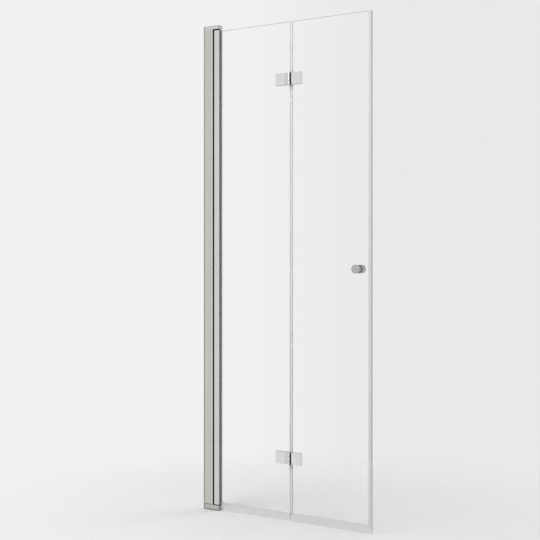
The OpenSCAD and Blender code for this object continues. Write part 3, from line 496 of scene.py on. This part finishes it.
# %% [markdown]
# Safety glass. Seen through its faces it is almost nothing: a little reflection and a trace of
# green. Its ground edges are another matter. They are matt and greenish grey, so the finish
# asks which way the surface faces: everything that does not face along Y is an edge, an arris
# or the wall of a drilled hole. The top edge is the darkest, because it gathers the green of
# the whole pane. Lamps shine through the panes, as they do in life.

# %% Glass
def safety_glass(name):
    """Clear glass with ground edges, which tell themselves by the way they face."""
    f = Finish(name)
    facing = f.facing()
    edge = facing.out("Y").size().ramp(0.96, 0.80)
    top = facing.out("Z").ramp(0.5, 0.8)
    film = f.noise((6, 6, 3), 3.0)
    pane = f.surface(Base_Color=rgb(0.997, 1.000, 0.998), Roughness=film.ramp(0.5, 0.9) * 0.02,
                     IOR=1.50, Transmission_Weight=1.0)
    frost = f.blend(f.noise((1800, 1800, 1800), 1.0), rgb(0.52, 0.56, 0.54), rgb(0.60, 0.64, 0.62))
    ground = f.surface(Base_Color=frost, Roughness=0.35, IOR=1.50, Transmission_Weight=0.45)
    green = f.blend(f.noise((90, 1800, 1800), 1.0), rgb(0.06, 0.08, 0.07), rgb(0.16, 0.19, 0.18))
    rim = f.surface(Base_Color=green, Roughness=0.35, IOR=1.50, Transmission_Weight=0.10)
    edges = f.add("ShaderNodeMixShader", None, {0: top, 1: ground, 2: rim})
    body = f.add("ShaderNodeMixShader", None, {0: edge, 1: pane, 2: edges})
    path = f.add("ShaderNodeLightPath")
    through = f.add("ShaderNodeBsdfTransparent", None, {"Color": rgb(0.95, 0.96, 0.955)})
    return f.end(f.add("ShaderNodeMixShader", None, {0: path.out("Is Shadow Ray"), 1: body, 2: through}))


pane_glass = safety_glass("safety_glass")
print("glass: one finish with a clear face, ground edges and a dark top edge")

# %% [markdown]
# Now each rigid imported piece gets its finish. The table goes by the pieces' names, because each
# piece of aluminium gets its own lightness, which carries painted light and shade. The soft
# pieces are not in it: they are made anew below, with the sections that real strips have.

# %% Dress the rigid pieces
FINISHES = {
    "wall_channel": channel_metal, "hinge_post": post_metal, "cap_bracket": cap_metal,
    "foot_bracket": foot_metal, "pivot_profile": profile_metal,
    "wall_glass": pane_glass, "lead_glass": pane_glass,
    "outer_knob": knob_chrome, "inner_knob": knob_chrome,
}
ENDINGS = {
    "_leaf": hinge_chrome, "_clamp": hinge_chrome, "_screws": screw_steel, "_pin": screw_steel,
    "_stud": screw_steel, "_bush": black_plastic, "_bushes": black_plastic,
}
SOFT_SLOTS = ("black_rubber", "grey_rubber", "clear_seal", "clear_pad")
subparts = frame["record"]["subparts"]
soft_nodes = {part["node"] for part in subparts if part["material_slot"] in SOFT_SLOTS}


def finish_of(name):
    """The finish that a piece's name asks for."""
    if name in FINISHES:
        return FINISHES[name]
    return next(finish for ending, finish in ENDINGS.items() if name.endswith(ending))


for name, piece in nodes.items():
    if name not in soft_nodes:
        piece.data.materials.clear()
        piece.data.materials.append(finish_of(name))
print("dressed:", len(nodes) - len(soft_nodes), "rigid pieces;", len(soft_nodes), "soft ones to make")

# %% [markdown]
# A sealing strip is pushed through a die, so its whole shape is one flat outline and a length.
# That is a rule, and rules suit Geometry Nodes: the tree below takes flat outlines, closes them
# to a face, pushes the face along, caps the other end and turns the strip into place. The
# outlines are drawn in millimetres, where a face fills cleanly, and scaled at the very end.

# %% The tree for pushed strips
def open_tree(name, inputs):
    """A new geometry tree: its wiring, its input node and the identifier of each input."""
    tree = bpy.data.node_groups.new(name, "GeometryNodeTree")
    wiring = Wiring(tree)
    keys = {}
    for label, kind in inputs.items():
        socket = tree.interface.new_socket(name=label, in_out="INPUT", socket_type="NodeSocket" + kind)
        keys[label] = socket.identifier
    tree.interface.new_socket(name="Made", in_out="OUTPUT", socket_type="NodeSocketGeometry")
    return wiring, wiring.add("NodeGroupInput"), keys


def close_tree(wiring, made, given):
    """Every tree ends the same way: real geometry, with its material."""
    real = wiring.add("GeometryNodeRealizeInstances", None, {0: made})
    dressed = wiring.add("GeometryNodeSetMaterial", None, {0: real, "Material": given.out("Material")})
    wiring.add("NodeGroupOutput", None, {0: dressed})
    return wiring.tree


WELD = 0.0005  # points closer than this, in millimetres, become one

w, given, STRIP_KEYS = open_tree("pushed_strip", {
    "Outlines": "Geometry", "Length": "Float", "Turn": "Rotation", "Place": "Vector",
    "Material": "Material"})
face = w.add("GeometryNodeFillCurve", {"mode": "TRIANGLES"}, {
    0: w.add("GeometryNodeMeshToCurve", None, {0: given})})
along = w.add("ShaderNodeCombineXYZ", None, {"Z": given.out("Length")})
pushed = w.add("GeometryNodeExtrudeMesh", {"mode": "FACES"}, {
    "Mesh": face, "Offset": along, "Offset Scale": 1.0, "Individual": False})
base = w.add("GeometryNodeFlipFaces", None, {0: face})
both = w.add("GeometryNodeJoinGeometry", None, {0: pushed})
w.tree.links.new(base.socket, both.socket.node.inputs[0])
solid = w.add("GeometryNodeMergeByDistance", None, {"Geometry": both, "Distance": WELD})
turned = w.add("GeometryNodeTransform", None, {
    0: solid, "Translation": given.out("Place"), "Rotation": given.out("Turn"), "Scale": (MM, MM, MM)})
STRIP_TREE = close_tree(w, turned, given)
print("strip tree:", len(STRIP_TREE.nodes), "nodes, inputs", list(STRIP_KEYS))

# %% [markdown]
# The foot's lower edge has a strip too, but that one is bent round the foot. So it gets its own
# short tree: a path, and a small round-edged rectangle that is swept along it.

# %% The tree for bent strips
w, given, BAND_KEYS = open_tree("bent_strip", {
    "Path": "Geometry", "Thickness": "Float", "Height": "Float", "Rounding": "Float",
    "Material": "Material"})
section = w.add("GeometryNodeCurvePrimitiveQuadrilateral", None, {
    "Width": given.out("Thickness"), "Height": given.out("Height")})
section = w.add("GeometryNodeFilletCurve", {"mode": "POLY"}, {
    0: section, "Count": 4, "Radius": given.out("Rounding")})
way = w.add("GeometryNodeMeshToCurve", None, {0: given})
swept = w.add("GeometryNodeCurveToMesh", None, {
    "Curve": way, "Profile Curve": section, "Fill Caps": True})
metres = w.add("GeometryNodeTransform", None, {0: swept, "Scale": (MM, MM, MM)})
BAND_TREE = close_tree(w, metres, given)
print("band tree:", len(BAND_TREE.nodes), "nodes, inputs", list(BAND_KEYS))

# %% [markdown]
# Each piece starts as bare edges: closed outlines for a pushed strip, or an open path for a
# bent one. The tree's result is taken as a plain mesh, and the starting object is thrown away.
# A piece may have several parts, such as a pad and the sleeves that go through the glass.

# %% From edges to a finished piece
def grown(edges_from, tree, keys, values, closed=True):
    """Runs a tree on outlines or a path, and gives the mesh."""
    points, edges = [], []
    for outline in edges_from:
        first, count = len(points), len(outline)
        points += [tuple(p) + (0.0,) * (3 - len(p)) for p in outline]
        edges += [(first + i, first + (i + 1) % count) for i in range(count if closed else count - 1)]
    start = bpy.data.meshes.new("start")
    start.from_pydata(points, edges, [])
    blank = bpy.data.objects.new("start", start)
    bpy.context.scene.collection.objects.link(blank)
    modifier = blank.modifiers.new("grow", "NODES")
    modifier.node_group = tree
    for label, value in values.items():
        modifier[keys[label]] = value
    ready = blank.evaluated_get(bpy.context.evaluated_depsgraph_get())
    made = bpy.data.meshes.new_from_object(ready)
    bpy.data.objects.remove(blank)
    return made


QUARTER_TURN = math.radians(90)
UPRIGHT = (0, 0, 0)
LEVEL = (QUARTER_TURN, 0, QUARTER_TURN)
FLAT = (QUARTER_TURN, 0, 0)


def pushed_part(outlines, length, turn, place, finish):
    """A part of one section; its length and place are in millimetres."""
    return grown(outlines, STRIP_TREE, STRIP_KEYS, {
        "Length": float(length), "Turn": turn, "Place": tuple(c * MM for c in place),
        "Material": finish})


def upright_part(outlines, bottom, top, finish):
    """Outlines seen from above, pushed up from bottom to top."""
    return pushed_part(outlines, top - bottom, UPRIGHT, (0, 0, bottom), finish)


def flat_part(outlines, thickness, back, finish):
    """Outlines seen from the dry side, pushed towards it from the depth called back."""
    return pushed_part(outlines, thickness, FLAT, (0, back, 0), finish)


SHARP = math.radians(32)  # faces that meet at less than this look round


def soft_piece(name, parts, finish, body, slot, *replaced):
    """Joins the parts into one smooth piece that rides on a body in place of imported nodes."""
    whole = bmesh.new()
    for part in parts:
        whole.from_mesh(part)
    for side in whole.faces:
        side.material_index = 0
        side.smooth = True
    made = bpy.data.meshes.new(name)
    whole.to_mesh(made)
    whole.free()
    made.set_sharp_from_angle(angle=SHARP)
    made.materials.append(finish)
    piece = bpy.data.objects.new(name, made)
    bpy.context.scene.collection.objects.link(piece)
    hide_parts(*replaced)
    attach(piece, body)
    corner = [round(min(v.co[i] for v in made.vertices) / MM, 2) for i in range(3)]
    print(f"{name}: {len(made.polygons)} faces, lowest corner {corner} mm")


# %% [markdown]
# Small helpers draw the outlines. `rounded` takes the corners of a section and rounds each
# one, by its own radius where the corner names one. `ring` draws a circle, for a hole or a
# sleeve, and `span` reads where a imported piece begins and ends.

# %% Outline helpers
def rounded(corners, radius=0.3, steps=4):
    """A closed outline with round corners; a corner may carry its own radius."""
    outline = []
    for i, corner in enumerate(corners):
        here = Vector(corner[:2])
        back, on = (Vector(corners[j % len(corners)][:2]) - here for j in (i - 1, i + 1))
        cut = min(corner[2] if len(corner) > 2 else radius, 0.45 * back.length, 0.45 * on.length)
        start, end = here + back.normalized() * cut, here + on.normalized() * cut
        outline += [start * (1 - t) ** 2 + here * 2 * t * (1 - t) + end * t * t
                    for t in (step / steps for step in range(steps + 1))]
    return outline


def ring(x, y, radius, steps=40):
    """A circle."""
    return [(x + radius * math.cos(a), y + radius * math.sin(a))
            for a in (2 * math.pi * i / steps for i in range(steps))]


def box_outline(x0, y0, x1, y1, radius):
    """A rectangle with round corners."""
    return rounded([(x0, y0), (x1, y0), (x1, y1), (x0, y1)], radius, steps=6)


def span(node):
    """A node's lowest and highest corner in millimetres."""
    low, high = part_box(node)
    return [v / MM for v in low], [v / MM for v in high]


sample = rounded([(0, 0), (4, 0), (4, 4)], radius=1.0, steps=2)
print("first corner of a 4 mm outline:", [tuple(round(c, 2) for c in p) for p in sample[:3]])

# %% [markdown]
# The strips on the wall side. The gap seal has an arrow-shaped root that snaps into the post's
# groove, a thin lip on the post and a hollow bulb, which gives when the profile swings past.
# The two grey strips close the channel's edges against the wall; their dark grey is partly
# painted shade, for the shadow in the corner against the wall. A thin black pad fills the joint
# between the channel and the foot.

# %% Strips on the wall side
GAP = 0.1  # the room that every soft piece leaves to its neighbours
NECK, BULB_FRONT, BULB_BACK = -11.85, -14.55, -9.9  # the root's middle and the bulb, along Y
(x0, y0, z0), (x1, _, z1) = span("post_seal")
barb, barb_end, post_face = x0 + 1.3, x0 + 1.9, x0 + 3.95
gap_seal = rounded([
    (x0, NECK - 0.6), (barb, NECK - 2), (barb_end, NECK - 2), (barb_end, NECK - 0.9),
    (post_face, NECK - 0.9), (post_face, y0), (x0 + 4.5, y0 + 0.1), (x0 + 5.2, BULB_FRONT),
    (x1, BULB_FRONT, 1.9), (x1, BULB_BACK, 1.9), (post_face, BULB_BACK),
    (post_face, NECK + 0.9), (barb_end, NECK + 0.9), (barb_end, NECK + 1.9), (barb, NECK + 1.9),
    (x0, NECK + 0.6)], radius=0.25)
hollow = ring(x1 - 4.25, (BULB_FRONT + BULB_BACK) / 2, radius=1.45, steps=24)
soft_piece("gap_seal", [upright_part([gap_seal, hollow], z0, z1, black_rubber)],
           black_rubber, "post", "black_rubber", "post_seal")

STRIP_T = 0.9
(x0, y0, z0), (x1, _, z1) = span("wall_strips")
(_, _, channel_foot), (_, _, channel_top) = span("wall_channel")
outer_edge = rounded([
    (x0, y0), (x1 - 0.3, y0, 0.5), (x1, y0 + STRIP_T / 2, 0.3),
    (x1, y0 + STRIP_T), (x0, y0 + STRIP_T)], radius=0.1)
inner_edge = [(x, -y) for x, y in outer_edge]
# These grey strips carry painted shade, for the shadow in the corner against the wall.
soft_piece("wall_edge_strips", [
    upright_part([outer_edge], z0, z1, grey_rubber),
    upright_part([inner_edge], channel_foot, channel_top - GAP, grey_rubber)],
    grey_rubber, "post", "grey_rubber", "wall_strips")

BAR_SIDE = 15.85  # the pad's two bars begin here, under the channel's side walls
(x0, y0, z0), (x1, y1, z1) = span("channel_end_pad")
bars = [box_outline(x0, y0, x1, -BAR_SIDE, 0.5), box_outline(x0, BAR_SIDE, x1, y1, 0.5)]
soft_piece("end_pad", [upright_part(bars, z0, z1, black_rubber)],
           black_rubber, "post", "black_rubber", "channel_end_pad")

# %% [markdown]
# The strip round the foot follows the foot's outline half its own thickness in: straight along
# the front, round the front corner, up the side and back to the wall in a wide arc about the
# pivot. Its path is worked out from the solid's box, the pivot's place and the corner's radius.

# %% Strip round the foot
def turn_round(cx, cy, radius, start, end, steps):
    """Points on an arc between two angles in degrees."""
    return [(cx + radius * math.cos(a), cy + radius * math.sin(a))
            for a in (math.radians(start + (end - start) * i / steps) for i in range(steps + 1))]


BAND_T, BAND_ROUNDING = 1.4, 0.35
FRONT_START, FRONT_CORNER, WALL_END = 5.25, 2.5, 0.05
(_, y0, z0), (x1, y1, z1) = span("foot_strip")
pivot = frame["record"]["behaviour"]["joints"][0]["pos_m"][0] / MM
inset = BAND_T / 2
wide = y1 - inset
meets = math.degrees(math.acos((x1 - inset - pivot) / wide))
path = [
    (FRONT_START, y0 + inset),
    *turn_round(x1 - FRONT_CORNER, y0 + FRONT_CORNER, FRONT_CORNER - inset, -90, 0, steps=8),
    *turn_round(pivot, 0, wide, meets, 90, steps=24),
    (WALL_END, wide)]
path = [(x, y, (z0 + z1) / 2) for x, y in path]
band = grown([path], BAND_TREE, BAND_KEYS, {
    "Thickness": BAND_T, "Height": z1 - z0, "Rounding": BAND_ROUNDING, "Material": black_rubber},
    closed=False)
soft_piece("foot_edge_strip", [band], black_rubber, "post", "black_rubber", "foot_strip")

# %% [markdown]
# The glazing strips hold the wall panel's glass in the turning profile. Each is a ribbed
# tongue in the slot with a lip that covers the profile's side. The front one is dark rubber,
# which the camera sees as the dark line beside the profile, and the one behind is milky white.
# All strips that grip the glass have legs between the same two distances from its middle.

# %% Glazing rubber
INNER, OUTER = 3.1, 4.5  # where a leg begins and ends, from the middle of the glass
LIP, RIB_STEP, RIB_COUNT = 0.9, 1.8, 4
RIB = ((-0.35, 0), (0, 0.35), (0.35, 0))
(x0, y0, z0), (x1, y1, z1) = span("glazing_gasket")


def glazing_outline(side, reach):
    """The section on one side of the glass; reach is how far its lip stands out."""
    ribs = [(x0 + RIB_STEP * i + dx, INNER + dy) for i in range(1, RIB_COUNT + 1) for dx, dy in RIB]
    corners = [(x0, INNER), *ribs, (x1, INNER), (x1, reach, 0.45),
               (x1 - LIP, reach), (x1 - LIP, OUTER), (x0, OUTER)]
    return rounded([(x, side * y, *more) for x, y, *more in corners], radius=0.12, steps=3)


for name, side, reach, finish, slot in (
        ("glazing_rubber", -1, -y0, lip_rubber, "grey_rubber"),
        ("glazing_strip", 1, y1, milky_plastic, "clear_seal")):
    soft_piece(name, [upright_part([glazing_outline(side, reach)], z0, z1, finish)],
               finish, "wall_panel", slot, "glazing_gasket")

# %% [markdown]
# A thin wiper stands on the splash lip of the upper end plate and closes the last millimetre
# under the cap. It is too thin for the solid model, so it exists only here, and it turns with
# the wall panel.

# %% Wiper under the cap
WIPER_T, WIPER_INSET = 2.4, 1.2
(x0, y0, _), (x1, _, _) = span("pivot_profile")
wiper_foot = span("upper_pivot_bush")[1][2]
wiper_top = span("cap_bracket")[0][2] - GAP
front = y0 + WIPER_INSET
wiper = box_outline(x0 + WIPER_INSET, front, x1 - WIPER_INSET, front + WIPER_T, 0.6)
soft_piece("cap_wiper", [upright_part([wiper], wiper_foot, wiper_top, black_rubber)],
           black_rubber, "wall_panel", "black_rubber")
print("wiper height:", round(wiper_top - wiper_foot, 2), "mm")

# %% [markdown]
# Each panel has a bottom seal: two legs that grip the glass, a skirt that thins out towards the
# floor on the dry side, and a drip lip that sends water back into the shower.

# %% Bottom seals
WEB_LOW, WEB_HIGH = 24.0, 25.4  # the web under the glass
SKIRT_BEND, SKIRT_T, DRIP_FOOT = 13, 0.75, 8.0
for panel in ("wall", "lead"):
    (x0, _, z0), (x1, _, z1) = span(panel + "_bottom_seal")
    sweep = rounded([
        (-OUTER, z0, 0.25), (-OUTER + SKIRT_T, z0, 0.25), (-INNER, SKIRT_BEND, 2),
        (-INNER, WEB_LOW, 0.6), (2.7, WEB_LOW, 0.6),
        (OUTER + 1.1, DRIP_FOOT, 0.2), (OUTER + 1.9, DRIP_FOOT, 0.2), (OUTER, WEB_LOW + 0.6, 1.0),
        (OUTER, z1, 0.7), (INNER, z1, 0.6), (INNER, WEB_HIGH, 0.2),
        (-INNER, WEB_HIGH, 0.2), (-INNER, z1, 0.6), (-OUTER, z1, 0.7)])
    soft_piece(panel + "_sweep", [pushed_part([sweep], x1 - x0, LEVEL, (x0, 0, 0), level_plastic)],
               level_plastic, panel + "_panel", "clear_seal", panel + "_bottom_seal")

# %% [markdown]
# The upright seals clip round the glass edges. At the seam each has a narrow nose, and the two
# noses almost meet. The leading edge has a wide hollow bulb, soft enough to close against a
# wall that is a little out of plumb.

# %% Upright seals
GRIP, WEB = 4.7, 1.4
NOSE_HALF, NOSE_END = 0.73, 2.2
BULB_HALF, BULB_END = 6.5, 9.9


def clip(beyond):
    """A clip that opens towards -X, with what stands beyond its web at x = 0."""
    mirrored = [(x, -y, *more) for x, y, *more in reversed(beyond)]
    return [(-GRIP, OUTER, 0.7), *beyond, *mirrored,
            (-GRIP, -OUTER, 0.7), (-GRIP, -INNER, 0.6), (0, -INNER, 0.3),
            (0, INNER, 0.3), (-GRIP, INNER, 0.6)]


nose = [rounded(clip([(WEB, OUTER, 0.6), (WEB, NOSE_HALF, 0.3), (NOSE_END, NOSE_HALF, 0.6)]))]
hollow = box_outline(2.1, -5.1, 8.5, 5.1, 2.4)
bulb = [rounded(clip([(0, OUTER, 0.3), (0, BULB_HALF, 0.5), (BULB_END, BULB_HALF, 3.4)])), hollow]
for node, pane, end, flip, section, plastic in (
        ("wall_seam_seal", "wall", 1, 1, nose, seam_plastic),
        ("lead_seam_seal", "lead", 0, -1, nose, seam_plastic),
        ("leading_edge_seal", "lead", 1, 1, bulb, edge_plastic)):
    (_, _, z0), (_, _, z1) = span(node)
    edge = span(pane + "_glass")[end][0] + flip * GAP
    outlines = [[(edge + flip * x, y) for x, y in outline] for outline in section]
    soft_piece(node.replace("_seal", "_strip"), [upright_part(outlines, z0, z1, plastic)],
               plastic, pane + "_panel", "clear_seal", node)

# %% [markdown]
# Metal never touches glass directly. Each hinge plate sits on a clear pad with a sleeve round
# every screw, and the plate on the wet side has a pad of its own. The knobs sit on black
# washers that work the same way.

# %% Pads and washers
SCREW_HOLE, SLEEVE = 3.1, 5.9  # radii
HALF_SPACING = 12  # from the middle of a clamping plate to its screws
PAD_T, SLEEVE_BACK, SLEEVE_LENGTH = 1.0, 2.9, 5.9


def cushions(front, sleeves, back, y0, y1, finish):
    """A pad on each face of the glass, and the sleeves that go through it."""
    return [flat_part(front, PAD_T, y0 + PAD_T, finish),
            flat_part(sleeves, SLEEVE_LENGTH, SLEEVE_BACK, finish),
            flat_part(back, PAD_T, y1, finish)]


for height in ("lower", "upper"):
    for panel in ("wall", "lead"):
        node = f"{height}_{panel}_pads"
        (x0, y0, z0), (x1, y1, z1) = span(node)
        (cx0, _, cz0), (cx1, _, cz1) = span(f"{height}_{panel}_clamp")
        middle_x, middle_z = (cx0 + cx1) / 2, (cz0 + cz1) / 2
        screws = [(middle_x, middle_z - HALF_SPACING), (middle_x, middle_z + HALF_SPACING)]
        holes = [ring(*at, SCREW_HOLE, steps=24) for at in screws]
        front = [box_outline(x0, z0, x1, z1, 1.5), *holes]
        back = [box_outline(cx0, cz0, cx1, cz1, 3.0), *holes]
        sleeves = [ring(*at, SLEEVE) for at in screws] + holes
        soft_piece(f"{height}_{panel}_cushions", cushions(front, sleeves, back, y0, y1, pad_plastic),
                   pad_plastic, panel + "_panel", "clear_pad", node)

(x0, y0, z0), (x1, y1, z1) = span("knob_washers")
middle = ((x0 + x1) / 2, (z0 + z1) / 2)
bore = ring(*middle, SCREW_HOLE, steps=32)
washer = [ring(*middle, (x1 - x0) / 2, steps=96), bore]
sleeve = [ring(*middle, SLEEVE), bore]
soft_piece("knob_cushions", cushions(washer, sleeve, washer, y0, y1, black_rubber),
           black_rubber, "lead_panel", "black_rubber", "knob_washers")

# %% [markdown]
# The view settings stay plain, so a colour in this file comes out as that colour.

# %% Finish
bpy.context.scene.view_settings.view_transform = "Standard"
